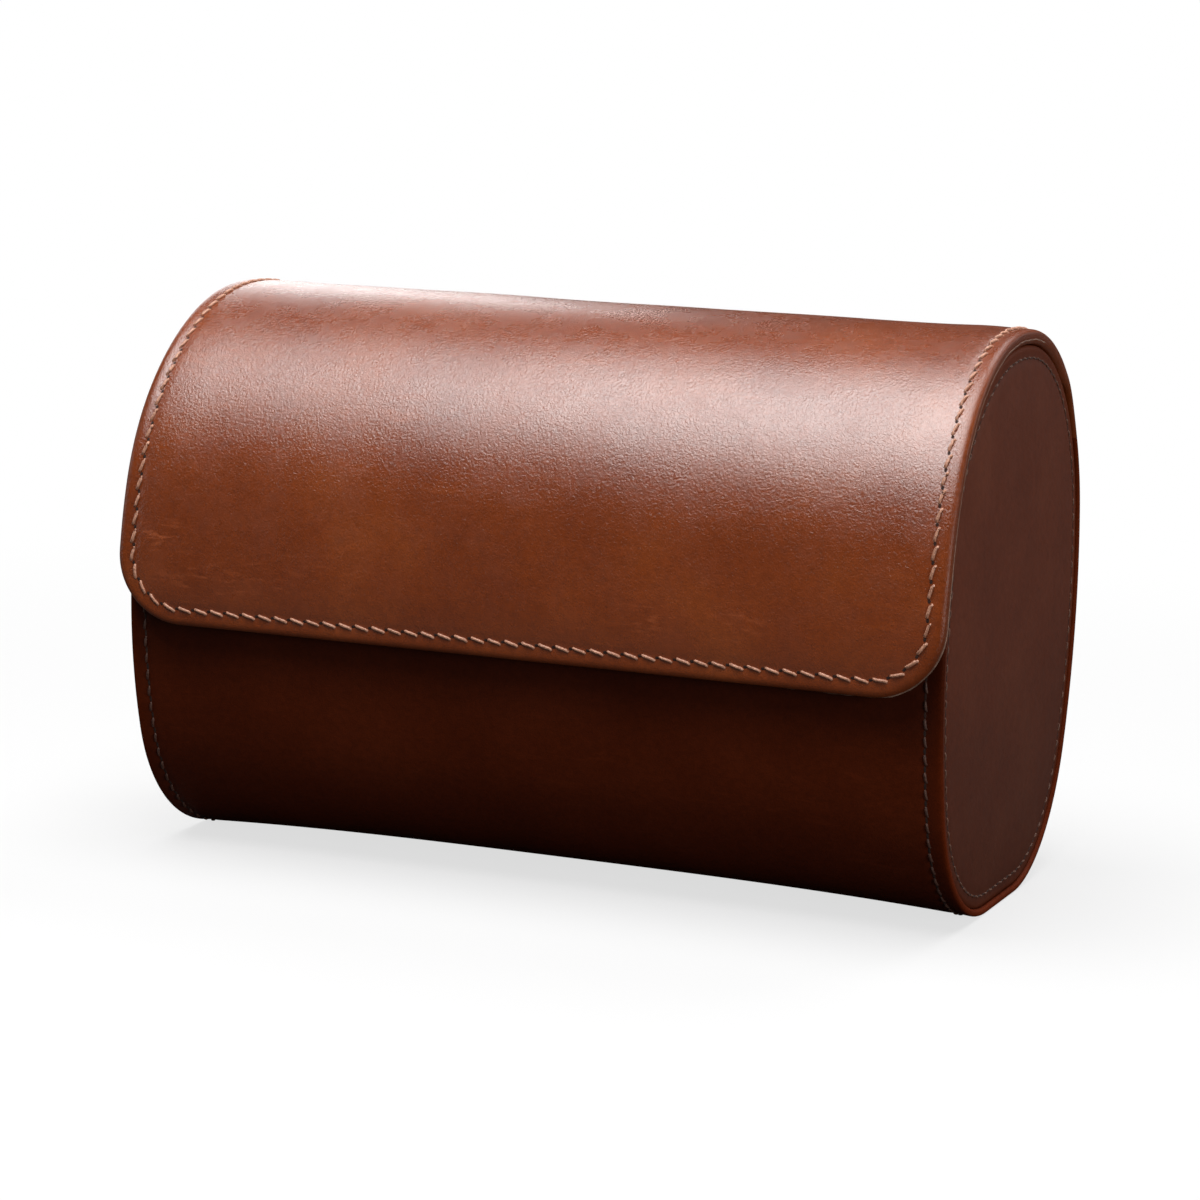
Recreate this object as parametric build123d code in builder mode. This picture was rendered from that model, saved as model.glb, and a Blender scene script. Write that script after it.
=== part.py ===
# Watch travel case: a stiff oval tube covered in leather, with a flap that folds over its opening
# on a leather hinge and holds shut by magnets, and two soft cushions inside, one for each watch.
#
# Frame: millimetres, +Z up, X along the case, the front (the side the flap closes on) faces -Y.
# The origin is the centre of the flat foot that the case stands on.
# Every layer follows one oval section, drawn as tangent arcs, at its own inset from the outside.

from build123d import *
from math import asin, atan2, cos, degrees, hypot, radians, sin, sqrt
import os

os.makedirs("parts", exist_ok=True)

# Overall size and the arcs of the oval section
case_length = 145.0
half_depth = 41.0
half_height = 47.4
side_radius = 88.0
shoulder_radius = 38.0
crown_radius = 56.0
corner_radius = 30.0

# Wall layers, from the outside in, and the line of glue between two layers
wrap_thickness = 1.2
wall_board_thickness = 2.0
wall_lining_thickness = 0.8
glue_line = 0.05

# End panels: a board with its leather turned over the edge, and suede on the inside
end_recess = 0.2
end_leather_thickness = 0.9
end_board_thickness = 2.2
end_lining_thickness = 0.6
end_lining_border = 0.5

# Front lip: its height over mid-height, and the leather over its edge and down the inside
front_lip_height = 12.0
lip_cap = 1.0
lip_turn_in = 9.0

# Hinge: bare leather and suede between the board of the wall and the board of the flap
hinge_angle = 40.0
hinge_width = 13.0
hinge_gap = 0.2
hinge_crease = 0.3

# Flap
flap_leather_thickness = 1.0
flap_board_thickness = 0.8
flap_lining_thickness = 0.3
flap_gap = 0.3
flap_drop = 6.4
flap_corner_radius = 12.0
flap_turn_in = 5.0

# Magnets in the front wall and the steel discs in the flap that they hold
magnet_radius = 5.0
magnet_thickness = 1.3
magnet_clearance = 0.1
magnet_spacing = 76.0
magnet_height = 3.0

# Divider between the two compartments
divider_board_thickness = 1.6
divider_lining_thickness = 0.7
divider_headroom = 9.0
divider_corner_radius = 2.5

# Cushions: the room left round each one, its suede, its barrel shape and its domed ends
cushion_end_room = 2.5
cushion_side_room = 9.9
cushion_head_room = 28.4
cushion_seat_gap = 0.3
cushion_cover_thickness = 0.9
cushion_draw_in = 2.6
cushion_dome = 2.4
cushion_dome_roundness = 2.2

# Rolled edges
wrap_edge_radius = 0.5
end_edge_radius = 0.6
flap_edge_radius = 0.45

# Centres of the arcs of the back half of the section; the front half is its mirror image
mid_height = half_height
side_centre_y = half_depth - side_radius
crown_centre_z = 2 * half_height - crown_radius
corner_centre_z = corner_radius
corner_centre_y = side_centre_y + sqrt(
    (side_radius - corner_radius) ** 2 - (mid_height - corner_centre_z) ** 2
)


def meeting_point(centre_a, distance_a, centre_b, distance_b):
    """The point furthest to +Y that is at the two distances from the two centres."""
    dy, dz = centre_b[0] - centre_a[0], centre_b[1] - centre_a[1]
    apart = hypot(dy, dz)
    along = (distance_a**2 - distance_b**2 + apart**2) / (2 * apart)
    across = sqrt(distance_a**2 - along**2)
    foot_y, foot_z = centre_a[0] + along * dy / apart, centre_a[1] + along * dz / apart
    return max((foot_y - s * across * dz / apart, foot_z + s * across * dy / apart) for s in (1, -1))


shoulder_centre_y, shoulder_centre_z = meeting_point(
    (side_centre_y, mid_height),
    side_radius - shoulder_radius,
    (0.0, crown_centre_z),
    crown_radius - shoulder_radius,
)

# Angles above horizontal at which one arc of the back half runs into the next
crown_start = degrees(atan2(shoulder_centre_z - crown_centre_z, shoulder_centre_y))
shoulder_start = degrees(atan2(shoulder_centre_z - mid_height, shoulder_centre_y - side_centre_y))
side_start = degrees(atan2(corner_centre_z - mid_height, corner_centre_y - side_centre_y))


def oval(inset, shift=0.0, mode=Mode.ADD):
    """The section at an inset from the outside, moved by shift towards the front."""
    arcs = (
        (0.0, crown_centre_z, crown_radius, crown_start, 180 - crown_start),
        (-shoulder_centre_y, shoulder_centre_z, shoulder_radius, 180 - crown_start, 180 - shoulder_start),
        (-side_centre_y, mid_height, side_radius, 180 - shoulder_start, 180 - side_start),
        (-corner_centre_y, corner_centre_z, corner_radius, 180 - side_start, 270),
        (corner_centre_y, corner_centre_z, corner_radius, 270, 360 + side_start),
        (side_centre_y, mid_height, side_radius, side_start, shoulder_start),
        (shoulder_centre_y, shoulder_centre_z, shoulder_radius, shoulder_start, crown_start),
    )
    with BuildLine() as outline:
        for centre_y, centre_z, radius, start, end in arcs:
            CenterArc((centre_y - shift, centre_z), radius - inset, start, end - start)
        Line((-corner_centre_y - shift, inset), (corner_centre_y - shift, inset))
    make_face(outline.edges(), mode=mode)


def front_point(angle, inset):
    """A point of the front side, by its angle above mid-height."""
    reach = side_radius - inset
    return (-side_centre_y - reach * cos(radians(angle)), mid_height + reach * sin(radians(angle)))


def back_point(angle, inset):
    """A point of the back shoulder, by its angle above horizontal."""
    reach = shoulder_radius - inset
    return (
        shoulder_centre_y + reach * cos(radians(angle)),
        shoulder_centre_z + reach * sin(radians(angle)),
    )


# The wall ends at the front lip and on the near side of the hinge; the flap starts on its far side
front_lip_angle = degrees(asin(front_lip_height / side_radius))
hinge_half_angle = degrees(hinge_width / 2 / shoulder_radius)
wall_end_angle = hinge_angle - hinge_half_angle
flap_start_angle = hinge_angle + hinge_half_angle
deep = half_depth / 2
far = 4 * half_height


def opening(front_setback=0.0, back_setback=0.0, mode=Mode.SUBTRACT):
    """The open stretch of the section, from a setback below the front lip to one below the hinge."""
    front = front_lip_angle - degrees(front_setback / side_radius)
    back = wall_end_angle - degrees(back_setback / shoulder_radius)
    Polygon(
        front_point(front, deep),
        front_point(front, -deep),
        (-far, far),
        (far, far),
        back_point(back, -deep),
        back_point(back, deep),
        align=None,
        mode=mode,
    )


# Insets of the wall layers
board_outside = wrap_thickness + glue_line
board_inside = board_outside + wall_board_thickness
lining_outside = board_inside + glue_line
lining_inside = lining_outside + wall_lining_thickness

# Stations along the length, measured from the middle
end_face = case_length / 2 - end_recess
end_board_face = end_face - end_leather_thickness - glue_line
end_board_back = end_board_face - end_board_thickness
wall_end = end_board_back - glue_line
end_lining_back = wall_end - end_lining_thickness
lip_end = end_lining_back - glue_line

# Wall leather: one wrap from the front lip, down under the foot and up the back to the hinge
wrap_radii = (side_radius, shoulder_radius, corner_radius)
with BuildPart() as wall_leather:
    with BuildSketch(Plane.YZ):
        oval(0.0)
        oval(wrap_thickness, mode=Mode.SUBTRACT)
        opening()
    extrude(amount=case_length / 2, both=True)
    end_arcs = wall_leather.faces().filter_by(Axis.X).edges().filter_by(GeomType.CIRCLE)
    outer_arcs = end_arcs.filter_by(lambda arc: min(abs(arc.radius - r) for r in wrap_radii) < glue_line)
    fillet(outer_arcs, wrap_edge_radius)
wall_leather.part.label = "wall_leather"
export_step(wall_leather.part, "parts/wall_leather.step")

# Magnets sit in round pockets, on a plane square to the front wall
magnet_angle = degrees(asin(magnet_height / side_radius))
magnet_sag = magnet_radius**2 / (2 * side_radius)


def magnet_plane(inset, shift=0.0):
    """The plane square to the front at the magnets' height, just under a surface at this inset."""
    y, z = front_point(magnet_angle, inset + magnet_sag)
    normal = (0, -cos(radians(magnet_angle)), sin(radians(magnet_angle)))
    return Plane(origin=(0, y - shift, z), x_dir=(1, 0, 0), z_dir=normal)


def magnet_pair(plane, radius, thickness):
    """Two discs, one towards each end of the case."""
    with BuildPart() as discs:
        with BuildSketch(plane):
            with GridLocations(magnet_spacing, 0, 2, 1):
                Circle(radius)
        extrude(amount=-thickness)
    return discs.part


wall_magnet_plane = magnet_plane(board_outside)
pocket_rim = 2 * magnet_sag
pocket_depth = magnet_thickness + magnet_clearance
magnet_pockets = magnet_pair(
    wall_magnet_plane.offset(pocket_rim), magnet_radius + magnet_clearance, pocket_rim + pocket_depth
)

# Wall board: the stiff tube under the leather
with BuildPart() as wall_board:
    with BuildSketch(Plane.YZ):
        oval(board_outside)
        oval(board_inside, mode=Mode.SUBTRACT)
        opening(lip_cap + glue_line)
    extrude(amount=wall_end, both=True)
    add(magnet_pockets, mode=Mode.SUBTRACT)
wall_board.part.label = "wall_board"
export_step(wall_board.part, "parts/wall_board.step")

wall_magnets = magnet_pair(wall_magnet_plane, magnet_radius, magnet_thickness)
wall_magnets.label = "wall_magnets"
export_step(wall_magnets, "parts/wall_magnets.step")

# Wall lining: suede on the inside of the tube, up to the leather turned in at the front lip
with BuildPart() as wall_lining:
    with BuildSketch(Plane.YZ):
        oval(lining_outside)
        oval(lining_inside, mode=Mode.SUBTRACT)
        opening(lip_turn_in + glue_line)
    extrude(amount=wall_end, both=True)
wall_lining.part.label = "wall_lining"
export_step(wall_lining.part, "parts/wall_lining.step")


def below_front_lip(length):
    """Keeps the stretch of front wall that reaches this far below the lip."""
    end = front_lip_angle - degrees(length / side_radius)
    Polygon(
        front_point(front_lip_angle, deep),
        front_point(front_lip_angle, -deep),
        front_point(end, -deep),
        front_point(end, deep),
        align=None,
        mode=Mode.INTERSECT,
    )


# Front lip binding: leather over the top edge of the wall board, turned in above the lining
with BuildPart() as front_lip_binding:
    with BuildSketch(Plane.YZ):
        oval(board_outside)
        oval(lining_inside, mode=Mode.SUBTRACT)
        below_front_lip(lip_cap)
    extrude(amount=lip_end, both=True)
    with BuildSketch(Plane.YZ):
        oval(lining_outside)
        oval(lining_inside, mode=Mode.SUBTRACT)
        below_front_lip(lip_turn_in)
    extrude(amount=lip_end, both=True)
front_lip_binding.part.label = "front_lip_binding"
export_step(front_lip_binding.part, "parts/front_lip_binding.step")

# End panels, closing the tube under the ends of the wrap
turned_edge = board_outside + end_leather_thickness
for side, outward in (("left", -1), ("right", 1)):
    board_plane = Plane.YZ.offset(outward * end_board_back)

    with BuildPart() as end_leather:
        with BuildSketch(board_plane):
            oval(board_outside)
        extrude(amount=outward * (end_face - end_board_back))
        shown_face = end_leather.faces().filter_by(Axis.X).sort_by(lambda face: abs(face.center().X))[-1]
        fillet(shown_face.edges(), end_edge_radius)
        with BuildSketch(board_plane):
            oval(turned_edge)
        extrude(amount=outward * (end_board_thickness + glue_line), mode=Mode.SUBTRACT)
    end_leather.part.label = f"{side}_end_leather"
    export_step(end_leather.part, f"parts/{side}_end_leather.step")

    with BuildPart() as end_board:
        with BuildSketch(board_plane):
            oval(turned_edge + glue_line)
        extrude(amount=outward * end_board_thickness)
    end_board.part.label = f"{side}_end_board"
    export_step(end_board.part, f"parts/{side}_end_board.step")

    with BuildPart() as end_lining:
        with BuildSketch(Plane.YZ.offset(outward * wall_end)):
            oval(board_outside + end_lining_border)
            opening(mode=Mode.INTERSECT)
            oval(lining_inside + glue_line)
        extrude(amount=-outward * end_lining_thickness)
    end_lining.part.label = f"{side}_end_lining"
    export_step(end_lining.part, f"parts/{side}_end_lining.step")


def divider_form(base, edge, half_width):
    """The divider: snug in the lining, stepped down from the lips so that the flap clears it."""
    with BuildPart() as form:
        with BuildSketch(Plane.YZ) as section:
            oval(base)
            opening(edge, edge)
            oval(divider_headroom + edge)
            front = front_lip_angle - degrees(edge / side_radius)
            back = wall_end_angle - degrees(edge / shoulder_radius)
            steps = [Vector(*front_point(front, base)), Vector(*back_point(back, base))]
            corners = [section.vertices().sort_by_distance(step)[0] for step in steps]
            fillet(corners, divider_corner_radius - edge)
        extrude(amount=half_width, both=True)
    return form.part


# Divider: a board with one piece of suede folded over its top edge
divider_base = lining_inside + glue_line
divider_hollow = divider_board_thickness / 2 + glue_line
divider_face = divider_hollow + divider_lining_thickness

divider_board = divider_form(
    divider_base, divider_lining_thickness + glue_line, divider_board_thickness / 2
)
divider_board.label = "divider_board"
export_step(divider_board, "parts/divider_board.step")

divider_outside = divider_form(divider_base, 0.0, divider_face)
divider_inside = divider_form(lining_inside, divider_lining_thickness, divider_hollow)
with BuildPart() as divider_lining:
    add(divider_outside)
    add(divider_inside, mode=Mode.SUBTRACT)
divider_lining.part.label = "divider_lining"
export_step(divider_lining.part, "parts/divider_lining.step")

# Flap section: the oval, swollen and moved to the front so that the flap clears the front wall
# and the end panels by the same gap
flap_leather_to_board = flap_leather_thickness + glue_line
flap_leather_to_lining = flap_leather_to_board + flap_board_thickness + glue_line
flap_thickness = flap_leather_to_lining + flap_lining_thickness
flap_shift = board_outside / (1 + cos(radians(hinge_angle)))
flap_outside = flap_shift - flap_thickness - flap_gap
flap_inside = flap_outside + flap_thickness


def flap_layer(outside, inside, border):
    """One layer of the flap between two insets, cut to the flap's outline less a border."""
    start_inside = back_point(flap_start_angle, deep)
    start_outside = back_point(flap_start_angle, -deep)
    with BuildPart() as layer:
        with BuildSketch(Plane.YZ):
            oval(outside, flap_shift)
            oval(inside, flap_shift, mode=Mode.SUBTRACT)
            Polygon(
                start_inside,
                start_outside,
                (start_outside[0], far),
                (-far, far),
                (-far, -far),
                (start_inside[0], -far),
                align=None,
                mode=Mode.INTERSECT,
            )
        extrude(amount=case_length / 2, both=True)
        with BuildSketch(Plane.XZ.offset(-far)) as front_view:
            with Locations((0, mid_height - flap_drop + border)):
                Rectangle(case_length - 2 * border, far, align=(Align.CENTER, Align.MIN))
            fillet(front_view.vertices().group_by(Axis.Y)[0], flap_corner_radius - border)
        extrude(amount=2 * far, mode=Mode.INTERSECT)
    return layer.part


board_space = flap_layer(
    flap_outside + flap_leather_thickness, flap_outside + flap_leather_to_lining, flap_leather_thickness
)
lining_space = flap_layer(
    flap_outside + flap_leather_to_board, flap_inside + flap_thickness, flap_turn_in
)
flap_blank = flap_layer(flap_outside, flap_inside, 0.0)

# Flap leather: formed over the shell of the case, then turned round the board's three free edges
# and in under it as a margin that frames the suede
with BuildPart() as flap_leather:
    add(flap_blank)
    sides = flap_leather.faces().filter_by(Axis.X)
    foot = flap_leather.faces().filter_by(Axis.Z).sort_by(Axis.Z)[0]
    corners = flap_leather.faces().filter_by(GeomType.CYLINDER).filter_by(
        lambda face: abs(face.axis_of_rotation.direction.Y) > 0.5
    )
    rims = (sides + corners + [foot]).edges()
    fillet(
        rims.filter_by(lambda e: e.geom_type != GeomType.LINE or abs(e.tangent_at(0.5).X) > 0.5),
        flap_edge_radius,
    )
    add(board_space, mode=Mode.SUBTRACT)
    add(lining_space, mode=Mode.SUBTRACT)
flap_leather.part.label = "flap_leather"
export_step(flap_leather.part, "parts/flap_leather.step")

# Flap board, with the steel discs let into it over the magnets
disc_plane = magnet_plane(flap_outside + flap_leather_to_board, flap_shift)
disc_thickness = flap_board_thickness - 2 * magnet_sag
disc_holes = magnet_pair(
    disc_plane.offset(flap_thickness), magnet_radius + magnet_clearance, 2 * flap_thickness
)
board_blank = flap_layer(
    flap_outside + flap_leather_to_board,
    flap_outside + flap_leather_to_board + flap_board_thickness,
    flap_leather_to_board,
)
with BuildPart() as flap_board:
    add(board_blank)
    add(disc_holes, mode=Mode.SUBTRACT)
flap_board.part.label = "flap_board"
export_step(flap_board.part, "parts/flap_board.step")

flap_discs = magnet_pair(disc_plane, magnet_radius, disc_thickness)
flap_discs.label = "flap_discs"
export_step(flap_discs, "parts/flap_discs.step")

flap_lining = flap_layer(
    flap_outside + flap_leather_to_lining, flap_inside, flap_turn_in + glue_line
)
flap_lining.label = "flap_lining"
export_step(flap_lining, "parts/flap_lining.step")

# Hinge: the leather of the wrap runs on into the flap, and suede crosses behind it
strip_end_angle = flap_start_angle - degrees(hinge_gap / shoulder_radius)
flap_leather_at_hinge = flap_outside + flap_shift * cos(radians(flap_start_angle))


def hinge_strip(start, middle, end, half_length, edge_radius=0.0):
    """A strip across the hinge, by its outer and inner insets at the wall, the middle and the flap."""
    with BuildPart() as strip:
        with BuildSketch(Plane.YZ):
            with BuildLine():
                outer = ThreePointArc(
                    back_point(wall_end_angle, start[0]),
                    back_point(hinge_angle, middle[0]),
                    back_point(strip_end_angle, end[0]),
                )
                inner = ThreePointArc(
                    back_point(wall_end_angle, start[1]),
                    back_point(hinge_angle, middle[1]),
                    back_point(strip_end_angle, end[1]),
                )
                Line(outer @ 0, inner @ 0)
                Line(outer @ 1, inner @ 1)
            make_face()
        extrude(amount=half_length, both=True)
        if edge_radius:
            end_arcs = strip.faces().filter_by(Axis.X).edges().filter_by(GeomType.CIRCLE)
            fillet(end_arcs.sort_by(lambda arc: arc.center().Y + arc.center().Z)[-2:], edge_radius)
    return strip.part


leather_start = (0.0, wrap_thickness)
leather_end = (flap_leather_at_hinge, flap_leather_at_hinge + flap_leather_thickness)
leather_middle = [(a + b) / 2 for a, b in zip(leather_start, leather_end)]
hinge_leather = hinge_strip(leather_start, leather_middle, leather_end, case_length / 2, wrap_edge_radius)
hinge_leather.label = "hinge_leather"
export_step(hinge_leather, "parts/hinge_leather.step")

suede_end = flap_leather_at_hinge + flap_leather_to_lining
suede_middle = leather_middle[1] + hinge_crease
hinge_lining = hinge_strip(
    (lining_outside, lining_inside),
    (suede_middle, suede_middle + (wall_lining_thickness + flap_lining_thickness) / 2),
    (suede_end, suede_end + flap_lining_thickness),
    lip_end,
)
hinge_lining.label = "hinge_lining"
export_step(hinge_lining, "parts/hinge_lining.step")

# Cushions: foam in a suede sleeve, fullest at the middle, with a domed panel sewn in at each end
compartment_start = divider_face
compartment_middle = (compartment_start + end_lining_back) / 2
cushion_length = end_lining_back - compartment_start - 2 * cushion_end_room
cushion_depth = 2 * (half_depth - lining_inside - cushion_side_room)
cushion_height = 2 * half_height - lining_inside - cushion_seat_gap - cushion_head_room
cushion_centre_z = lining_inside + cushion_seat_gap + cushion_height / 2
seam_station = cushion_length / 2 - cushion_dome
draw_in_along_length = ((-1.0, 1.0), (-0.5, 0.25), (0.0, 0.0), (0.5, 0.25), (1.0, 1.0))


def cushion_form(middle, slack):
    """A whole cushion about the middle of its compartment, smaller all round by the slack."""
    with BuildPart() as form:
        for place, share in draw_in_along_length:
            narrowing = slack + share * cushion_draw_in
            with BuildSketch(Plane.YZ.offset(middle + place * seam_station)):
                with Locations((0, cushion_centre_z)):
                    Ellipse(cushion_depth / 2 - narrowing, cushion_height / 2 - narrowing)
        loft()
        seam_narrowing = slack + cushion_draw_in
        for outward in (-1, 1):
            with BuildSketch(Plane.YZ.offset(middle + outward * seam_station)):
                with Locations((0, cushion_centre_z)):
                    Ellipse(cushion_depth / 2 - seam_narrowing, cushion_height / 2 - seam_narrowing)
            extrude(amount=outward * (cushion_dome - slack))
            fillet(form.faces().sort_by(Axis.X)[min(outward, 0)].edges(), cushion_dome_roundness - slack)
    return form.part


for side, direction in (("left", -1), ("right", 1)):
    middle = direction * compartment_middle
    skin_outside = cushion_form(middle, 0.0)
    skin_inside = cushion_form(middle, cushion_cover_thickness)
    with BuildPart() as seam_to_seam:
        with Locations((middle, 0, cushion_centre_z)):
            Box(2 * seam_station, 2 * cushion_depth, 2 * cushion_height)

    with BuildPart() as cushion_sleeve:
        add(skin_outside)
        add(skin_inside, mode=Mode.SUBTRACT)
        add(seam_to_seam.part, mode=Mode.INTERSECT)
    cushion_sleeve.part.label = f"{side}_cushion_sleeve"
    export_step(cushion_sleeve.part, f"parts/{side}_cushion_sleeve.step")

    with BuildPart() as cushion_end_panels:
        add(skin_outside)
        add(skin_inside, mode=Mode.SUBTRACT)
        add(seam_to_seam.part, mode=Mode.SUBTRACT)
    cushion_end_panels.part.label = f"{side}_cushion_end_panels"
    export_step(cushion_end_panels.part, f"parts/{side}_cushion_end_panels.step")

    cushion_core = cushion_form(middle, cushion_cover_thickness + glue_line)
    cushion_core.label = f"{side}_cushion_core"
    export_step(cushion_core, f"parts/{side}_cushion_core.step")
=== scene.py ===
import bmesh
import bpy
import numpy as np
from functools import partial
from math import asin, atan2, cos, degrees, hypot, pi, radians, sin, sqrt
from mathutils import Matrix, Vector


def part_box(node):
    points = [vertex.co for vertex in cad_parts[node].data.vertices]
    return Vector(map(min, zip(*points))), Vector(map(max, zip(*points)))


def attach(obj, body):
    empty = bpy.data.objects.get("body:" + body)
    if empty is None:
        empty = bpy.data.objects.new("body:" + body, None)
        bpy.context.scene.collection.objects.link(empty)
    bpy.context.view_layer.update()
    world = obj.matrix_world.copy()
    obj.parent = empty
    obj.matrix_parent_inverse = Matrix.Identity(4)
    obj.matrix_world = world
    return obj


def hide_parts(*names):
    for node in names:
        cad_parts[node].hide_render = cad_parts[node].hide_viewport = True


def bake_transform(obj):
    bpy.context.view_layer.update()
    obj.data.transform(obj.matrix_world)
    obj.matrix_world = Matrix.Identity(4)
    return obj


# Watch travel case: leather skins, stitches and filled cushions over the CAD frame, with its camera and lamps.
# Sizes are millimetres in this script. +Z is up, X runs along the case and the front faces -Y.

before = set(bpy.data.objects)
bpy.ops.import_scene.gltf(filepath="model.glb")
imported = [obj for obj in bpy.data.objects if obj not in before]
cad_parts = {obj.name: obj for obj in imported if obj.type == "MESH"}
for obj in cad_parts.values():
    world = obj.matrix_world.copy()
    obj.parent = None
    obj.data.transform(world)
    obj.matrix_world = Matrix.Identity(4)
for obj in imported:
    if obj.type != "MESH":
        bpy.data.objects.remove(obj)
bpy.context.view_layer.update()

# The case and the arcs of its oval section, as the CAD model has them
MM = 0.001
LENGTH = 145.0
HALF_DEPTH = 41.0
HALF_HEIGHT = 47.4
SIDE_RADIUS, SHOULDER_RADIUS, CROWN_RADIUS, CORNER_RADIUS = 88.0, 38.0, 56.0, 30.0
HALF_LENGTH = LENGTH / 2
MID = HALF_HEIGHT

# Layers of the wall and how deep each one lies under the outside of the wrap
WRAP_THICKNESS = 1.2
BOARD_OUTSIDE, BOARD_THICKNESS, BOARD_INSIDE = 1.25, 2.0, 3.25
LINING_OUTSIDE, LINING_THICKNESS = 3.3, 0.8
END_RECESS = 0.2

# Opening, hinge and flap
FRONT_LIP_HEIGHT = 12.0
HINGE_ANGLE, HINGE_WIDTH = 40.0, 13.0
FLAP_LEATHER, FLAP_LINING, FLAP_THICKNESS, FLAP_GAP = 1.0, 0.3, 2.2, 0.3
FLAP_DROP, FLAP_CORNER, FLAP_TURN_IN = 6.4, 12.0, 5.0

# Cushions
CUSHION_MIDDLE, CUSHION_LEVEL = 35.025, 35.4
CUSHION_LENGTH, CUSHION_DEPTH, CUSHION_HEIGHT = 61.95, 54.0, 62.0
CUSHION_DRAW_IN, CUSHION_DOME, DOME_ROUNDNESS = 2.6, 2.4, 2.2

# Stitches, and the dip that their thread pulls into the leather
STITCH_PITCH, STITCH_INSET, END_STITCH_INSET = 3.0, 2.8, 2.1
THREAD_RADIUS, THREAD_CLEARANCE = 0.26, 0.42
SEAM_GROOVE, SEAM_WIDTH = 0.15, 0.9


def smooth(t):
    """Smooth step from 0 to 1, for numbers or arrays."""
    t = np.clip(t, 0.0, 1.0)
    return t * t * (3 - 2 * t)


def hill(distance, width):
    """A round hill: 1 at no distance, falling off over about its width."""
    return np.exp(-((distance / width) ** 2))


def section_arcs():
    """The oval as arcs of (centre y, centre z, radius, start, end), anticlockwise from the back shoulder.

    Heights are from the oval's middle. The flat foot has None for a centre, and then half its width.
    """
    side_y, crown_z = HALF_DEPTH - SIDE_RADIUS, HALF_HEIGHT - CROWN_RADIUS
    to_side, to_crown = SIDE_RADIUS - SHOULDER_RADIUS, CROWN_RADIUS - SHOULDER_RADIUS
    apart = hypot(side_y, crown_z)
    along = (to_side**2 - to_crown**2 + apart**2) / (2 * apart)
    across = sqrt(to_side**2 - along**2)
    uy, uz = -side_y / apart, crown_z / apart
    shoulder_y = side_y + along * uy - across * uz
    shoulder_z = along * uz + across * uy
    corner_z = CORNER_RADIUS - HALF_HEIGHT
    corner_y = side_y + sqrt((SIDE_RADIUS - CORNER_RADIUS) ** 2 - corner_z**2)
    crown = degrees(atan2(shoulder_z - crown_z, shoulder_y))
    shoulder = degrees(atan2(shoulder_z, shoulder_y - side_y))
    side = degrees(atan2(corner_z, corner_y - side_y))
    return [
        (shoulder_y, shoulder_z, SHOULDER_RADIUS, shoulder, crown),
        (0.0, crown_z, CROWN_RADIUS, crown, 180 - crown),
        (-shoulder_y, shoulder_z, SHOULDER_RADIUS, 180 - crown, 180 - shoulder),
        (-side_y, 0.0, SIDE_RADIUS, 180 - shoulder, 180 - side),
        (-corner_y, corner_z, CORNER_RADIUS, 180 - side, 270),
        (None, corner_y, 0.0, 270, 270),
        (corner_y, corner_z, CORNER_RADIUS, 270, 360 + side),
        (side_y, 0.0, SIDE_RADIUS, 360 + side, 360 + shoulder),
        (shoulder_y, shoulder_z, SHOULDER_RADIUS, 360 + shoulder, 360 + crown),
    ]


ARCS = section_arcs()
SHOULDER_Y, SHOULDER_Z = ARCS[0][0], ARCS[0][1]


class Section:
    """The oval, swollen by outset and moved to the front by shift, walked by length along it."""

    def __init__(self, outset=0.0, shift=0.0):
        self.outset, self.shift = outset, shift
        self.starts = [0.0]
        for y, z, radius, start, end in ARCS:
            length = 2 * z if y is None else radians(end - start) * (radius + outset)
            self.starts.append(self.starts[-1] + length)

    def length_at(self, arc, angle):
        """Length along the section to an angle on one of its arcs."""
        return self.starts[arc] + radians(angle - ARCS[arc][3]) * (ARCS[arc][2] + self.outset)

    def at(self, length):
        """Point (y, z) and outward normal (y, z) at a length along the section."""
        arc = min(max(np.searchsorted(self.starts, length, side="right") - 1, 0), len(ARCS) - 1)
        y, z, radius, start, end = ARCS[arc]
        gone = length - self.starts[arc]
        if y is None:
            return (-z + gone - self.shift, MID - HALF_HEIGHT - self.outset), (0.0, -1.0)
        angle = radians(start) + gone / (radius + self.outset)
        normal = (cos(angle), sin(angle))
        reach = radius + self.outset
        return (y + reach * normal[0] - self.shift, MID + z + reach * normal[1]), normal


FLAP_SHIFT = BOARD_OUTSIDE / (1 + cos(radians(HINGE_ANGLE)))
FLAP_SWELL = FLAP_THICKNESS + FLAP_GAP - FLAP_SHIFT
HINGE_HALF = degrees(HINGE_WIDTH / 2 / SHOULDER_RADIUS)
WALL_END, FLAP_START = HINGE_ANGLE - HINGE_HALF, HINGE_ANGLE + HINGE_HALF
wall = Section()
flap = Section(FLAP_SWELL, FLAP_SHIFT)
ROUND_TRIP = wall.starts[8]

# Mesh helpers. A leather's edge mark is the distance in from its edge, in centimetres.
EDGE_SCALE = 10.0


def add_object(name, data):
    piece = bpy.data.objects.new(name, data)
    bpy.context.scene.collection.objects.link(piece)
    return piece


def mesh_object(name, points, faces, material, sharp=50, attributes=None):
    """A smooth-shaded mesh from points in millimetres. Attributes are marks for its material, point by point."""
    mesh = bpy.data.meshes.new(name)
    mesh.from_pydata([tuple(p * MM) for p in np.asarray(points, float)], [], [tuple(f) for f in faces])
    for key, values in (attributes or {}).items():
        mark = mesh.attributes.new(key, "FLOAT", "POINT")
        mark.data.foreach_set("value", np.asarray(values, np.float32))
    mesh.validate()
    mesh.polygons.foreach_set("use_smooth", [True] * len(mesh.polygons))
    mesh.set_sharp_from_angle(angle=radians(sharp))
    mesh.materials.append(material)
    return add_object(name, mesh)


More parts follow.
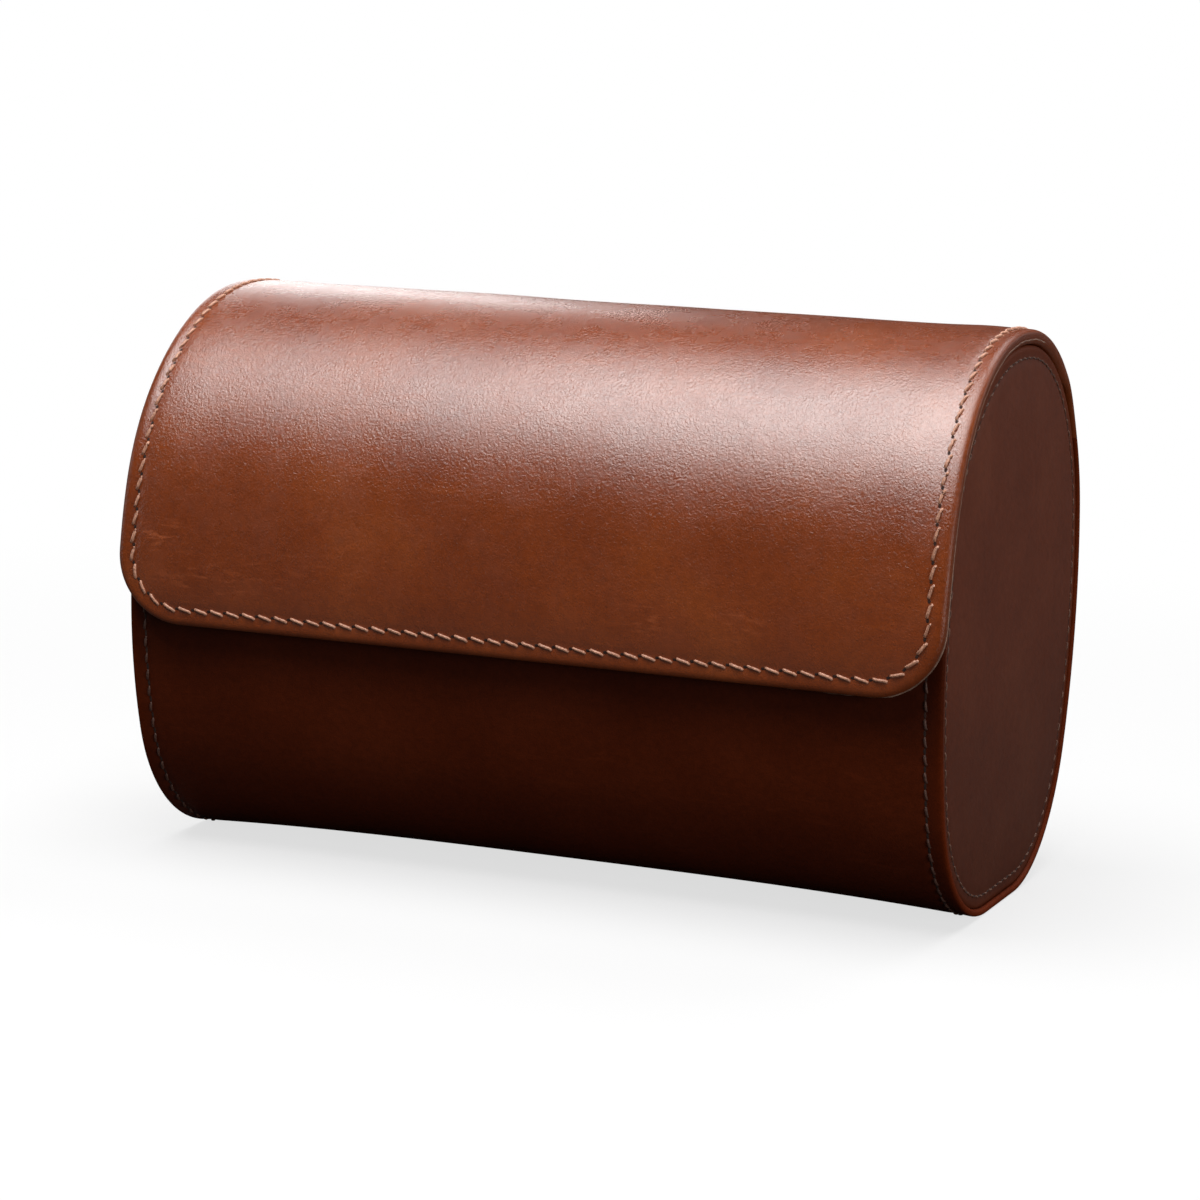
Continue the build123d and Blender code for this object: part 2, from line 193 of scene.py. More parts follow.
def lifted(x, spot, height):
    """The point, or a row of points, at x and at a height over a spot of a section."""
    (y, z), (ny, nz) = spot
    return np.stack([x, y + ny * height, z + nz * height], axis=-1)


def grid_faces(rows, columns, start=0, flip=False, wrap=False):
    """Quads of a grid of points in row order; wrap joins the last column to the first."""
    last = columns if wrap else columns - 1
    for j in range(rows - 1):
        for i in range(last):
            k = (i + 1) % columns
            a, b = start + j * columns + i, start + j * columns + k
            c, d = b + columns, a + columns
            yield (a, d, c, b) if flip else (a, b, c, d)


def plate(name, outer, inner, material, sharp=50, **attributes):
    """A closed sheet from two grids of points, outer and inner, joined round their rims."""
    outer, inner = np.array(outer), np.array(inner)
    rows, columns = outer.shape[:2]
    count = rows * columns
    faces = list(grid_faces(rows, columns))
    faces += list(grid_faces(rows, columns, count, flip=True))
    rim = [(0, i) for i in range(columns)]
    rim += [(j, columns - 1) for j in range(1, rows)]
    rim += [(rows - 1, i) for i in range(columns - 2, -1, -1)]
    rim += [(j, 0) for j in range(rows - 2, 0, -1)]
    loop = [j * columns + i for j, i in rim]
    for a, b in zip(loop, loop[1:] + loop[:1]):
        faces.append((b, a, a + count, b + count))
    points = np.concatenate([outer.reshape(-1, 3), inner.reshape(-1, 3)])
    doubled = {key: np.tile(np.ravel(value), 2) for key, value in attributes.items()}
    return mesh_object(name, points, faces, material, sharp, doubled)


def rolled(distance, radius, least=0.35):
    """Share of full thickness near an edge, so that the edge is round."""
    share = np.clip(distance / radius, 0.0, 1.0)
    return least + (1 - least) * np.sqrt(1 - (1 - share) ** 2)


def seam_dip(distance, inset=STITCH_INSET):
    """Depth to which the thread pulls the leather in, by distance from the edge."""
    return SEAM_GROOVE * hill(distance - inset, SEAM_WIDTH)


def wander(a, b, seed=0.0):
    """A slow, shallow waviness between -1 and 1, as hand-covered leather has."""
    waves = np.sin(a * 0.061 + b * 0.043 + seed) + np.sin(a * 0.113 - b * 0.087 + 1.7 * seed)
    return (waves + 0.6 * np.sin(a * 0.211 + b * 0.151 + 2.3 * seed)) / 2.6


# Materials


def fresh_tree(owner):
    """Nodes and links of a material or the world, switched on and emptied."""
    owner.use_nodes = True
    owner.node_tree.nodes.clear()
    return owner.node_tree.nodes, owner.node_tree.links


def fill(node, **values):
    """Plain values for a node's inputs, written with _ for each space in their names."""
    for name, value in values.items():
        node.inputs[name.replace("_", " ")].default_value = value


def brighter(colour, gain, lift=0.0):
    """A lighter version of a colour."""
    return tuple(min(1.0, channel * gain + lift) for channel in colour)


class Finish:
    """A material in the making: each method but set adds nodes and returns their output."""

    def __init__(self, name):
        self.material = bpy.data.materials.new(name)
        self.nodes, self.links = fresh_tree(self.material)
        self.shader = self.nodes.new("ShaderNodeBsdfPrincipled")
        output = self.nodes.new("ShaderNodeOutputMaterial")
        self.links.new(self.shader.outputs["BSDF"], output.inputs["Surface"])
        self.place = self.nodes.new("ShaderNodeTexCoord").outputs["Object"]

    def feed(self, socket, value):
        """Gives an input a number, a colour or another node's output."""
        if isinstance(value, (int, float)):
            socket.default_value = value
        elif isinstance(value, tuple):
            socket.default_value = (*value, 1.0)
        else:
            self.links.new(value, socket)

    def set(self, **looks):
        """Feeds inputs of the shader, named as in fill."""
        for name, value in looks.items():
            self.feed(self.shader.inputs[name.replace("_", " ")], value)

    def mark(self, name):
        """A value that the mesh carries from point to point, or 0 where it has none."""
        node = self.nodes.new("ShaderNodeAttribute")
        node.attribute_name = name
        return node.outputs["Fac"]

    def noise(self, scale, detail=3.0, roughness=0.5, stretch=None, distortion=0.0):
        """Clouds over the piece, drawn out along each axis whose stretch is under 1."""
        texture = self.nodes.new("ShaderNodeTexNoise")
        fill(texture, Scale=scale, Detail=detail, Roughness=roughness, Distortion=distortion)
        place = self.place
        if stretch:
            mapping = self.nodes.new("ShaderNodeMapping")
            fill(mapping, Scale=stretch)
            self.links.new(place, mapping.inputs["Vector"])
            place = mapping.outputs["Vector"]
        self.links.new(place, texture.inputs["Vector"])
        return texture.outputs["Fac"]

    def pores(self, scale):
        """Distance to the edges of small cells."""
        cells = self.nodes.new("ShaderNodeTexVoronoi")
        cells.feature = "DISTANCE_TO_EDGE"
        fill(cells, Scale=scale)
        self.links.new(self.place, cells.inputs["Vector"])
        return cells.outputs["Distance"]

    def ramp(self, value, *stops):
        """Colours over a value, from (position, colour) stops."""
        node = self.nodes.new("ShaderNodeValToRGB")
        elements = node.color_ramp.elements
        while len(elements) < len(stops):
            elements.new(0.5)
        for element, (position, colour) in zip(elements, stops):
            element.position = position
            element.color = (*colour, 1.0)
        self.links.new(value, node.inputs["Fac"])
        return node.outputs["Color"]

    def levels(self, value, *stops):
        """Greys over a value, from (position, level) stops."""
        return self.ramp(value, *((position, (level,) * 3) for position, level in stops))

    def mix(self, factor, a, b, blend="MIX"):
        node = self.nodes.new("ShaderNodeMix")
        node.data_type = "RGBA"
        node.blend_type = blend
        for name, value in (("Factor", factor), ("A", a), ("B", b)):
            self.feed([s for s in node.inputs if s.name == name and s.enabled][0], value)
        return [s for s in node.outputs if s.enabled][0]

    def multiply(self, a, b, share=1.0):
        return self.mix(share, a, b, "MULTIPLY")

    def bump(self, height, strength, depth, under=None):
        """Relief of a depth in metres, on top of the relief under it."""
        node = self.nodes.new("ShaderNodeBump")
        fill(node, Strength=strength, Distance=depth)
        self.links.new(height, node.inputs["Height"])
        if under is not None:
            self.links.new(under, node.inputs["Normal"])
        return node.outputs["Normal"]


def leather_dye(finish, dyes, streaks):
    """Clouded dye, mottled by the pores, with patches of faint light streaks."""
    dark, middle, light = dyes
    clouds = finish.noise(45, 4, 0.55)
    fine = finish.noise(800, 5, 0.68, distortion=0.4)
    mottle = finish.levels(fine, (0.30, 0.80), (0.62, 1.12))
    dye = finish.ramp(clouds, (0.30, dark), (0.52, middle), (0.74, light))
    dye = finish.multiply(dye, mottle, 0.75)
    strokes = finish.noise(520, 4, 0.6, stretch=(0.14, 1.0, 1.0), distortion=0.5)
    patches = finish.noise(26, 3, 0.55, distortion=0.6)
    streaked = finish.multiply(
        finish.levels(strokes, (0.57, 0.0), (0.66, 1.0)), finish.levels(patches, (0.50, 0.0), (0.64, 1.0))
    )
    return finish.mix(streaked, dye, finish.mix(streaks, dye, brighter(light, 1.45)))


def leather_wear_and_painted_light(finish, dye, light, rim):
    """The dye with pale short scuffs, a rim that is darker burnish below 1 and a painted highlight above 1, and
    painted shade, where the mesh marks them.
    """
    short = finish.noise(1200, 4, 0.7, stretch=(0.22, 1.0, 1.0), distortion=0.25)
    scuffed = finish.multiply(finish.mark("scuffs"), finish.levels(short, (0.52, 0.0), (0.66, 1.0)))
    dye = finish.mix(scuffed, dye, brighter(light, 1.9, 0.02))
    # Rim: under 1 it darkens the edge as burnish; over 1 it lightens the rolled edge as a painted highlight.
    burnish_and_highlight = finish.levels(finish.mark("edge"), (0.0, rim), (0.06, (1 + rim) / 2), (0.14, 1.0))
    # Painted shade: darker where the mesh marks it.
    rubbed = finish.levels(finish.mark("rubbed"), (0.0, 1.0), (1.0, 0.55))
    return finish.multiply(finish.multiply(dye, burnish_and_highlight), rubbed)


def leather_relief(finish, grain):
    """Fine creases, pores, low bumps and long brush marks."""
    creases = finish.noise(2100, 3, 0.65, distortion=0.8)
    bumps = finish.noise(480, 3, 0.6)
    brushed = finish.noise(300, 3, 0.5, stretch=(1.0, 0.3, 0.3), distortion=0.4)
    relief = finish.bump(creases, grain, 0.00022)
    relief = finish.bump(finish.pores(1500), grain * 0.5, 0.00012, relief)
    relief = finish.bump(bumps, grain * 0.18, 0.00026, relief)
    return finish.bump(brushed, grain * 0.12, 0.0006, relief)


def leather(name, dyes, roughness, specular, coat=0.0, grain=0.3, streaks=0.25, rim=0.7):
    """Smooth waxed leather in a dark, a middle and a light dye, duller at its edges."""
    finish = Finish(name)
    edge = finish.mark("edge")
    uneven = finish.levels(finish.noise(160, 4, 0.6), (0.3, roughness - 0.05), (0.7, roughness + 0.07))
    relief = leather_relief(finish, grain)
    finish.set(
        Base_Color=leather_wear_and_painted_light(finish, leather_dye(finish, dyes, streaks), dyes[-1], rim),
        Roughness=finish.mix(1.0, uneven, finish.levels(edge, (0.0, 0.10), (0.12, 0.0)), "ADD"),
        Specular_IOR_Level=finish.levels(edge, (0.04, specular * 0.35), (0.22, specular)),
        Normal=relief,
    )
    if coat:
        finish.set(
            Coat_Weight=finish.levels(edge, (0.04, 0.0), (0.16, coat)), Coat_Roughness=0.23, Coat_Normal=relief
        )
    return finish.material


def suede(name, dark, light):
    """Suede: short nap brushed in patches, with a soft sheen."""
    finish = Finish(name)
    nap = finish.noise(55, 3, 0.55, distortion=0.5)
    fibres = finish.noise(1500, 4, 0.7)
    dye = finish.ramp(nap, (0.25, dark), (0.75, light))
    finish.set(
        Base_Color=finish.multiply(dye, finish.levels(fibres, (0.35, 0.78), (0.65, 1.12)), 0.8),
        Roughness=0.95,
        Specular_IOR_Level=0.15,
        Sheen_Weight=0.25,
        Sheen_Tint=(0.85, 0.62, 0.45),
        Sheen_Roughness=0.5,
        Normal=finish.bump(nap, 0.25, 0.001, finish.bump(fibres, 0.5, 0.0004)),
    )
    return finish.material


def speckled(name, dark, light, roughness, metallic=0.0, scale=300, detail=4, stops=(0.35, 0.65), relief=(0.3, 3e-4)):
    """Board, foam, metal or thread: two colours in fine specks, with a little relief."""
    finish = Finish(name)
    specks = finish.noise(scale, detail, 0.6)
    finish.set(
        Base_Color=finish.ramp(specks, (stops[0], dark), (stops[1], light)),
        Roughness=roughness,
        Metallic=metallic,
        Normal=finish.bump(specks, *relief),
    )
    return finish.material


FLAP_DYES = (0.142, 0.0245, 0.0032), (0.168, 0.0308, 0.0042), (0.200, 0.0415, 0.0066)
# The wrap's dyes are the flap's leather darkened, a painted shade for the wrap lying in shade below the flap.
WALL_SHADED_DYES = (0.064, 0.0092, 0.0017), (0.076, 0.0112, 0.0022), (0.090, 0.0140, 0.0032)
END_DYES = (0.080, 0.0160, 0.0052), (0.092, 0.0188, 0.0062), (0.105, 0.0236, 0.0085)
LIP_DYES = (0.10, 0.032, 0.020), (0.15, 0.05, 0.032), (0.20, 0.07, 0.045)
flap_leather = leather("flap_leather", FLAP_DYES, roughness=0.26, specular=0.72, coat=0.48, grain=0.42)
# Rims over 1 lighten the rolled edges of the wrap and the end panels, a painted highlight.
wall_leather = leather("wall_leather", WALL_SHADED_DYES, roughness=0.50, specular=0.08, grain=0.25, rim=1.2)
end_leather = leather("end_leather", END_DYES, roughness=0.48, specular=0.15, grain=0.16, streaks=0.1, rim=1.3)
edge_leather = leather("edge_leather", LIP_DYES, roughness=0.55, specular=0.4, grain=0.2)
lining_suede = suede("lining_suede", (0.10, 0.045, 0.025), (0.17, 0.08, 0.045))
cushion_suede = suede("cushion_suede", (0.13, 0.062, 0.036), (0.21, 0.105, 0.062))
TWIST = {"scale": 2600, "detail": 3, "stops": (0.32, 0.62), "relief": (0.5, 2e-4)}
thread = speckled("thread", (0.24, 0.098, 0.056), (0.50, 0.25, 0.160), 0.42, **TWIST)
# The wrap's seams use the flap's thread darkened, a painted shade.
shaded_wall_thread = speckled("shaded_wall_thread", (0.030, 0.009, 0.005), (0.075, 0.027, 0.015), 0.65, **TWIST)
end_thread = speckled("end_thread", (0.050, 0.017, 0.009), (0.120, 0.050, 0.028), 0.7, **TWIST)
raw_edge = speckled("raw_edge", (0.12, 0.060, 0.040), (0.24, 0.14, 0.10), 0.8, scale=900)
# Needle holes are dark lenses, painted shade for the hollow of each hole.
hole_dark = speckled("needle_hole", (0.014, 0.0035, 0.0015), (0.028, 0.0075, 0.003), 1.0)
board = speckled("board", (0.16, 0.13, 0.10), (0.24, 0.20, 0.15), 0.9)
nickel = speckled("nickel", (0.55, 0.55, 0.56), (0.68, 0.68, 0.69), 0.35, metallic=1.0)

# Spacing of the points in from an edge, close enough for its round and for the seam
EDGE_STEPS = [0, 0.06, 0.18, 0.36, 0.6, 0.9, 1.3, 1.7, 2.1, 2.5, 2.85, 3.15, 3.5, 3.9, 4.4]
EDGE_STEPS += [4.98, 5.06, 6, 7.2, 9, 11.5]
STATION_STEP = 2.6


def stations_across(half_width):
    """Stations across a sheet, close together near both edges."""
    near = [half_width - e for e in EDGE_STEPS]
    count = int(near[-1] / STATION_STEP) + 1
    middle = [near[-1] * i / count for i in range(count)]
    right = sorted(set(middle + near))
    return np.array([-x for x in reversed(right) if x > 0] + right)


# Flap skin: the leather from the hinge over the top to the front, bent at the hinge.
# It is measured up from the flap's lower edge, along its oval.
FLAP_LOWER = flap.length_at(3, 180 + degrees(asin(FLAP_DROP / (SIDE_RADIUS + FLAP_SWELL))))
FLAP_ROOT = flap.length_at(0, FLAP_START)
FLAP_HEIGHT = FLAP_LOWER - flap.length_at(0, WALL_END)
FLAP_CROWN = FLAP_LOWER - flap.length_at(1, 90)

# How the flap lies: its front hangs past the case's ends, its lower edge and corners stand off the wall, and its
# leather is puffed inside the seam and over the crown and a little wavy. All this fades towards the hinge.
FLAP_OVERHANG, OVERHANG_ENDS, OVERHANG_FADE = 0.7, 62.0, 45.0
LOWER_LIFT, LOWER_LIFT_ENDS = 0.75, 30.0
CORNER_LIFT, CORNER_LIFT_ENDS = 0.35, 60.0
CORNER_LIFT_FROM, CORNER_LIFT_WIDTH = 45.0, 27.0
SEAM_PUFF, SEAM_PUFF_INSET, SEAM_PUFF_WIDTH = 0.12, 8.0, 4.0
CROWN_PUFF, CROWN_PUFF_WIDTH = 0.35, 26.0
SKIN_WAVE, SKIN_WAVE_FADE = 0.12, 12.0
HINGE_FADE, HINGE_SETTLE, LAYER_FADE = 20.0, 3.0, 6.0


def flap_half(t):
    """Half the flap's width at a height over its lower edge."""
    return HALF_LENGTH + FLAP_OVERHANG * smooth((OVERHANG_ENDS - t) / OVERHANG_FADE)


def flap_edge_distance(x, t):
    """Distance in from the flap's outline, at x and at t up from its lower edge."""
    side = flap_half(t) - np.abs(x)
    in_x, in_t = np.clip(FLAP_CORNER - side, 0, None), np.clip(FLAP_CORNER - t, 0, None)
    in_corner = (side < FLAP_CORNER) & (t < FLAP_CORNER)
    return np.where(in_corner, FLAP_CORNER - np.hypot(in_x, in_t), np.minimum(side, t))


def flap_height(x, t, distance):
    """Height of the flap's outer face over its oval, at a distance in from its outline."""
    lift = LOWER_LIFT * smooth((LOWER_LIFT_ENDS - t) / LOWER_LIFT_ENDS)
    corner = smooth((CORNER_LIFT_ENDS - t) / CORNER_LIFT_ENDS)
    corner = corner * smooth((np.abs(x) - CORNER_LIFT_FROM) / CORNER_LIFT_WIDTH)
    puff = SEAM_PUFF * hill(distance - SEAM_PUFF_INSET, SEAM_PUFF_WIDTH)
    puff = puff + CROWN_PUFF * hill(t - FLAP_CROWN, CROWN_PUFF_WIDTH)
    waves = SKIN_WAVE * wander(x, t) * smooth(distance / SKIN_WAVE_FADE)
    by_hinge = smooth((FLAP_HEIGHT - t) / HINGE_FADE)
    return (lift + CORNER_LIFT * corner + puff + waves - seam_dip(distance)) * by_hinge


def flap_rise(x, t, distance):
    """Height of the skin over the flap's oval, taken down to the wall at the hinge."""
    angle = ARCS[0][3] + degrees((FLAP_LOWER - t) / (SHOULDER_RADIUS + FLAP_SWELL))
    over_wall = FLAP_SWELL - FLAP_SHIFT * cos(radians(angle))
    on_wall = 1 - smooth((angle - WALL_END) / (FLAP_START + HINGE_SETTLE - WALL_END))
    return flap_height(x, t, distance) - over_wall * on_wall


def flap_point(x, t, extra=0.0):
    """A point on the flap's outer face."""
    rise = flap_rise(x, t, flap_edge_distance(x, t)) + extra
    return lifted(x, flap.at(FLAP_LOWER - t), rise)


# Scuffs seen on the flap: across, up from its lower edge, half width, half height, strength
SCUFFS = (-66, 15.5, 6, 2.4, 0.6), (-55, 8, 10, 2.2, 0.5), (-38, 12, 12, 3, 0.2)
SCUFFS += (24, 9, 4, 3, 0.4), (39, 9.5, 4, 3, 0.4)

# Rows of points round the corners and over the rest, each stretched to the outline, in full past a distance
CORNER_ROWS, FLAP_ROWS, STRETCH_TO = 26, 96, 60.0


def scuff_amount(x, t):
    return sum(strength * hill(x - at_x, wide) * hill(t - at_t, tall) for at_x, at_t, wide, tall, strength in SCUFFS)


def flap_stations(t):
    """Stations across the flap at a height, drawn out or in to its outline there."""
    half_width = flap_half(t)
    if t < FLAP_CORNER:
        half_width = half_width - FLAP_CORNER + sqrt(FLAP_CORNER**2 - (FLAP_CORNER - t) ** 2)
    stations = stations_across(HALF_LENGTH)
    outwards = smooth(np.abs(stations) / STRETCH_TO)
    return np.sign(stations) * (np.abs(stations) + (half_width - HALF_LENGTH) * outwards)


def make_flap_skin():
    rows = [FLAP_CORNER * (1 - cos(radians(a))) for a in np.linspace(0, 90, CORNER_ROWS)]
    rows += list(np.linspace(FLAP_CORNER, FLAP_HEIGHT, FLAP_ROWS)[1:])
    outer, inner, edge, scuffs = [], [], [], []
    for t in rows:
        stations = flap_stations(t)
        flap_share = float(smooth((FLAP_LOWER - t - FLAP_ROOT + LAYER_FADE / 2) / LAYER_FADE))
        spot = flap.at(FLAP_LOWER - t)
        distance = np.maximum(flap_edge_distance(stations, t), 0)
        rise = flap_rise(stations, t, distance)
        base = rise - flap_height(stations, t, distance)
        turned = WRAP_THICKNESS + (FLAP_THICKNESS - WRAP_THICKNESS) * flap_share
        bare = WRAP_THICKNESS + (FLAP_LEATHER - WRAP_THICKNESS) * flap_share
        round_share = rolled(distance, 0.5 * turned + 0.1)
        top = rise - turned / 2 * (1 - round_share)
        under = np.where(distance < FLAP_TURN_IN, base - turned / 2 * (1 + round_share), rise - bare)
        outer.append(lifted(stations, spot, top))
        inner.append(lifted(stations, spot, under))
        edge.append(distance / EDGE_SCALE)
        scuffs.append(scuff_amount(stations, t))
    return plate("flap_skin", outer, inner, flap_leather, 55, edge=edge, scuffs=scuffs)


def bend(piece):
    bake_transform(piece)


skin = make_flap_skin()
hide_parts("flap_leather", "hinge_leather")
bend(skin)

# Wall skin: the wrap from the front lip under the foot and up the back to the hinge
WALL_LIP = wall.length_at(3, 180 - degrees(asin(FRONT_LIP_HEIGHT / SIDE_RADIUS)))
WALL_BACK = wall.length_at(8, 360 + WALL_END)
WALL_ROWS = 190

# The wrap draws in between the end panels, most of all under the foot, and its back edge tucks under the flap.
# Its front is darker from a height up, a painted shadow of the flap, and the dip of its seams starts a short way from
# the lip.
FOOT_BOW, FOOT_BOW_BELOW = 1.35, 0.9 * MID
FLAP_SHADE_FROM, FLAP_SHADE_FADE = 26.0, 14.0
BACK_TUCK, LIP_FADE = 0.12, 3.0


def wall_sink(x, z):
    low = smooth((FOOT_BOW_BELOW - z) / FOOT_BOW_BELOW)
    return FOOT_BOW * low * (1 - np.minimum(1.0, np.abs(x) / HALF_LENGTH) ** 3)


def wall_point(x, length, extra=0.0):
    """A point on the wrap's outer face."""
    spot = wall.at(length)
    return lifted(x, spot, extra - seam_dip(HALF_LENGTH - abs(x)) - wall_sink(x, spot[0][1]))


def make_wall_skin():
    lengths = list(WALL_LIP + np.array([0, 0.06, 0.2, 0.45, 0.8, 1.3, 2.0, 3.0]))
    lengths += list(np.linspace(WALL_LIP + 4.2, WALL_BACK, WALL_ROWS)) + [WALL_BACK + 0.4, WALL_BACK + 1.0]
    stations = stations_across(HALF_LENGTH)
    side = HALF_LENGTH - np.abs(stations)
    outer, inner, edge, rubbed = [], [], [], []
    for length in lengths:
        spot = wall.at(length)
        y, z = spot[0]
        # Painted shadow of the flap: the wrap's front darkens from a height up towards the flap.
        rubbed.append(np.full(len(stations), float(smooth((z - FLAP_SHADE_FROM) / FLAP_SHADE_FADE)) if y < 0 else 0.0))
        from_lip = length - WALL_LIP
        distance = np.minimum(side, from_lip)
        half_thickness = WRAP_THICKNESS / 2 * rolled(distance, 0.5 * WRAP_THICKNESS)
        sink = wall_sink(stations, z) + BACK_TUCK * max(0.0, length - WALL_BACK)
        middle = -WRAP_THICKNESS / 2 - sink
        top = middle + half_thickness - seam_dip(side) * smooth(from_lip / LIP_FADE)
        bottom = middle - half_thickness
        outer.append(lifted(stations, spot, top))
        inner.append(lifted(stations, spot, bottom))
        edge.append(distance / EDGE_SCALE)
    return plate("wall_skin", outer, inner, wall_leather, 55, edge=edge, rubbed=rubbed)


wall_skin = make_wall_skin()
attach(wall_skin, "case")
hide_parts("wall_leather")

# Wall board: the CAD board, its outer face drawn in with the wrap under the foot
BOARD_CUTS, BOARD_SPOTS = np.arange(-60, 61, 12), 700


def make_bowed_board():
    piece = add_object("bowed_board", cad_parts["wall_board"].data.copy())
    bm = bmesh.new()
    bm.from_mesh(piece.data)
    for x in BOARD_CUTS:
        whole = bm.verts[:] + bm.edges[:] + bm.faces[:]
        bmesh.ops.bisect_plane(bm, geom=whole, plane_co=(x * MM, 0, 0), plane_no=(1, 0, 0))
    spots = [wall.at(length) for length in np.linspace(wall.starts[3], ROUND_TRIP, BOARD_SPOTS)]
    line = np.array([spot[0] for spot in spots])
    for vert in bm.verts:
        x, y, z = (c / MM for c in vert.co)
        if z > MID:
            continue
        k = int(np.argmin(((line - (y, z)) ** 2).sum(axis=1)))
        depth = float(np.hypot(*(line[k] - (y, z))))
        outer_share = min(1.0, max(0.0, (BOARD_INSIDE - depth) / BOARD_THICKNESS))
        move = float(wall_sink(x, z)) * outer_share
        normal = spots[k][1]
        vert.co.y -= normal[0] * move * MM
        vert.co.z -= normal[1] * move * MM
    bm.to_mesh(piece.data)
    bm.free()
    piece.data.materials.clear()
    piece.data.materials.append(board)
    return piece


bowed_board = make_bowed_board()
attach(bowed_board, "case")
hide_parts("wall_board")

# End panels: leather pulled over a board, a little crowned, dipped along its seam
END_STEPS = [0, 0.05, 0.16, 0.34, 0.6, 0.95, 1.4, 1.9, 2.4, 2.8, 3.2, 3.7, 4.3, 5.2, 6.5, 8.5, 11, 14, 17.5, 21, 25]
END_MIDDLE_SHARES = (0.75, 0.5, 0.25, 0.06)
END_POINTS_ROUND = 320
END_EDGE_RADIUS, END_SKIN_DEPTH, END_FACE_DROP = 0.7, 3.1, 0.25
END_CROWN, END_CROWN_OVER, END_SEAM_SHARE = 0.25, 14.0, 0.6

# Over the opening a panel's edge comes further out, up to the flap. Towards the foot the panel is darker, painted
# shade.
END_GAP, END_WIDENS_OVER, END_NARROWS_OVER = 0.12, 4.0, 3.0
END_SHADE, END_SHADE_HEIGHT = 0.8, 64.0


def end_point(direction, length, distance, extra=0.0):
    """A point on an end panel's face, at a distance in from its edge."""
    spot = wall.at(length)
    free = smooth((length - wall.length_at(0, WALL_END)) / END_WIDENS_OVER)
    free = free * smooth((WALL_LIP - length) / END_NARROWS_OVER)
    under_flap = FLAP_THICKNESS - FLAP_SWELL + FLAP_SHIFT * spot[1][0]
    inset = BOARD_OUTSIDE * (1 - free) + max(0.0, under_flap + END_GAP) * free + distance
    crown = END_CROWN * smooth(distance / END_CROWN_OVER) - END_SEAM_SHARE * seam_dip(distance, END_STITCH_INSET)
    x = direction * (HALF_LENGTH - END_RECESS - END_FACE_DROP + crown + extra)
    return lifted(x, spot, -inset)


def make_end_skin(name, direction):
    lengths = np.linspace(0, ROUND_TRIP, END_POINTS_ROUND, endpoint=False)
    back = np.array([end_point(direction, length, 0.0) for length in lengths])
    back[:, 0] = direction * (HALF_LENGTH - END_RECESS - END_SKIN_DEPTH)
    rings, edge = [back], [0.0]
    for distance in END_STEPS:
        flat_share = max(0.0, 1 - distance / END_EDGE_RADIUS)
        drop = END_EDGE_RADIUS * (1 - sqrt(1 - flat_share**2))
        rings.append(np.array([end_point(direction, length, distance, -drop) for length in lengths]))
        edge.append(distance / EDGE_SCALE)
    last = rings[-1]
    centre = last.mean(axis=0)
    rings += [centre + (last - centre) * share for share in END_MIDDLE_SHARES]
    edge += [1.0] * len(END_MIDDLE_SHARES)
    points = np.array(rings)
    count, around = points.shape[:2]
    faces = list(grid_faces(count, around, wrap=True, flip=direction > 0))
    cap = list(range((count - 1) * around, count * around))
    faces.append(cap if direction < 0 else cap[::-1])
    # Painted shade: the panel darkens towards the foot.
    rubbed = END_SHADE * smooth((END_SHADE_HEIGHT - points[..., 2]) / END_SHADE_HEIGHT)
    marks = {"edge": np.repeat(edge, around), "rubbed": rubbed.ravel()}
    return mesh_object(name, points.reshape(-1, 3), faces, end_leather, 60, marks)


for side_name, direction in (("left", -1), ("right", 1)):
    end_skin = make_end_skin(f"{side_name}_end_skin", direction)
    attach(end_skin, "case")
    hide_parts(f"{side_name}_end_leather")

# Hinge lining: suede from the wall's lining to the flap's, bent at the hinge. In its middle it lies on the leather,
# whose inside is a step further out at the flap than at the wall.
HINGE_STEP, HINGE_SUEDE_GAP, HINGE_SUEDE_END = 1.5, 0.3, 0.65


def make_hinge_lining():
    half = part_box("hinge_lining")[1][0] / MM
    outer, inner = [], []
    for share in np.linspace(0, 1, 25):
        angle = radians(WALL_END + share * 2 * HINGE_HALF)
        on_leather = 4 * share * (1 - share)
        straight = LINING_OUTSIDE * (1 - share) + HINGE_SUEDE_END * share
        leather_inside = WRAP_THICKNESS - HINGE_STEP * share
        depth = straight * (1 - on_leather) + (leather_inside + HINGE_SUEDE_GAP) * on_leather
        thickness = LINING_THICKNESS * (1 - share) + FLAP_LINING * share
        for line, inset in ((outer, depth), (inner, depth + thickness)):
            y = SHOULDER_Y + (SHOULDER_RADIUS - inset) * cos(angle)
            z = MID + SHOULDER_Z + (SHOULDER_RADIUS - inset) * sin(angle)
            line.append([(x, y, z) for x in np.linspace(-half, half, 60)])
    return plate("hinge_suede", outer, inner, lining_suede)


hinge_suede = make_hinge_lining()
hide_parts("hinge_lining")
bend(hinge_suede)

# Stitching: each stitch is a short leaning length of thread that dives into a needle hole at both ends
STITCH_SHARES = (-1.0, -0.86, -0.6, -0.2, 0.2, 0.6, 0.86, 1.0)
STITCH_RISE, STITCH_LOW, DIVE_DEPTH = 0.27, 0.1, 0.12
HOOK, HOOK_FROM, THREAD_TAPER = 1.8, 0.6, 0.55
HOLE_RINGS = ((1.0, -0.02), (0.75, 0.035), (0.4, 0.05))
HOLE_ASIDE, HOLE_TOP, HOLE_BOTTOM = 0.3, 0.055, -0.15
SHARP_ROUND = 80


def unit(vectors):
    return vectors / np.linalg.norm(vectors, axis=-1, keepdims=True)


